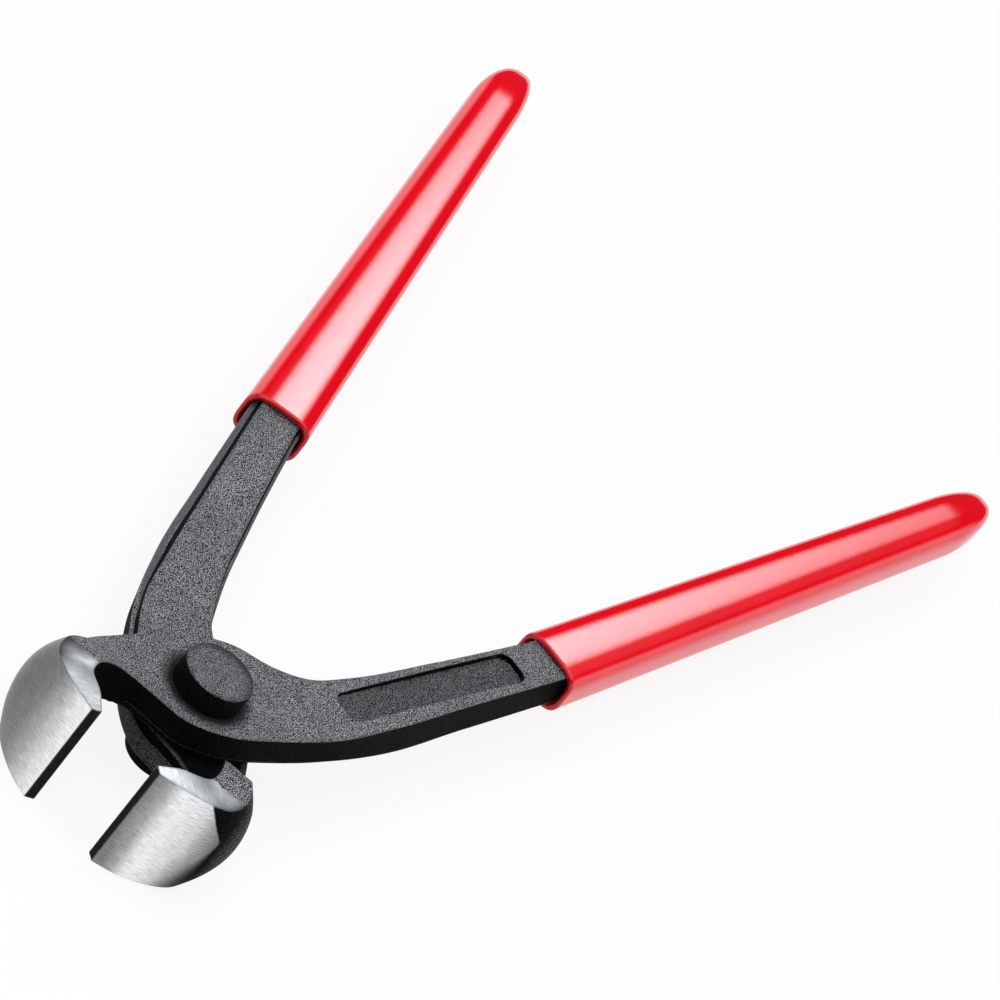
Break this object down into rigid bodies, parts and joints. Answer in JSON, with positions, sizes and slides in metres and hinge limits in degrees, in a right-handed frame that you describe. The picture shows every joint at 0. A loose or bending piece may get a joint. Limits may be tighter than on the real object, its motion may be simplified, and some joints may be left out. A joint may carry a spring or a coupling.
{
  "type": "ear clamp pliers",
  "caption": "Long-handled pincers with wide hooked jaws ground flat at the lips, a riveted lap joint and dipped handle sleeves, for squeezing the ear of a hose clamp.",
  "frame": {"origin": "on the pivot axis, at the flat face of the head formed at the back of the rivet", "axes": "+Z along the pivot axis towards the tall front head, +X along the middle of the tool towards the handles, +Y towards the rear arm's handle"},
  "size_m": [0.216, 0.1086, 0.0188],
  "materials": {
    "forged_steel": "black, fine blasted grain",
    "rivet_steel": "black, matte",
    "dipped_red": "gloss"
  },
  "bodies": {
    "front_half": {"front_arm": "forged_steel", "front_grip": "dipped_red", "pivot_rivet": "rivet_steel"},
    "rear_half": {"rear_arm": "forged_steel", "rear_grip": "dipped_red"}
  },
  "joints": [
    {"name": "pivot", "type": "hinge", "parent": "front_half", "child": "rear_half", "pos_m": [0, 0, 0.0094], "axis": [0, 0, 1], "range_deg": [-22, 30]}
  ]
}
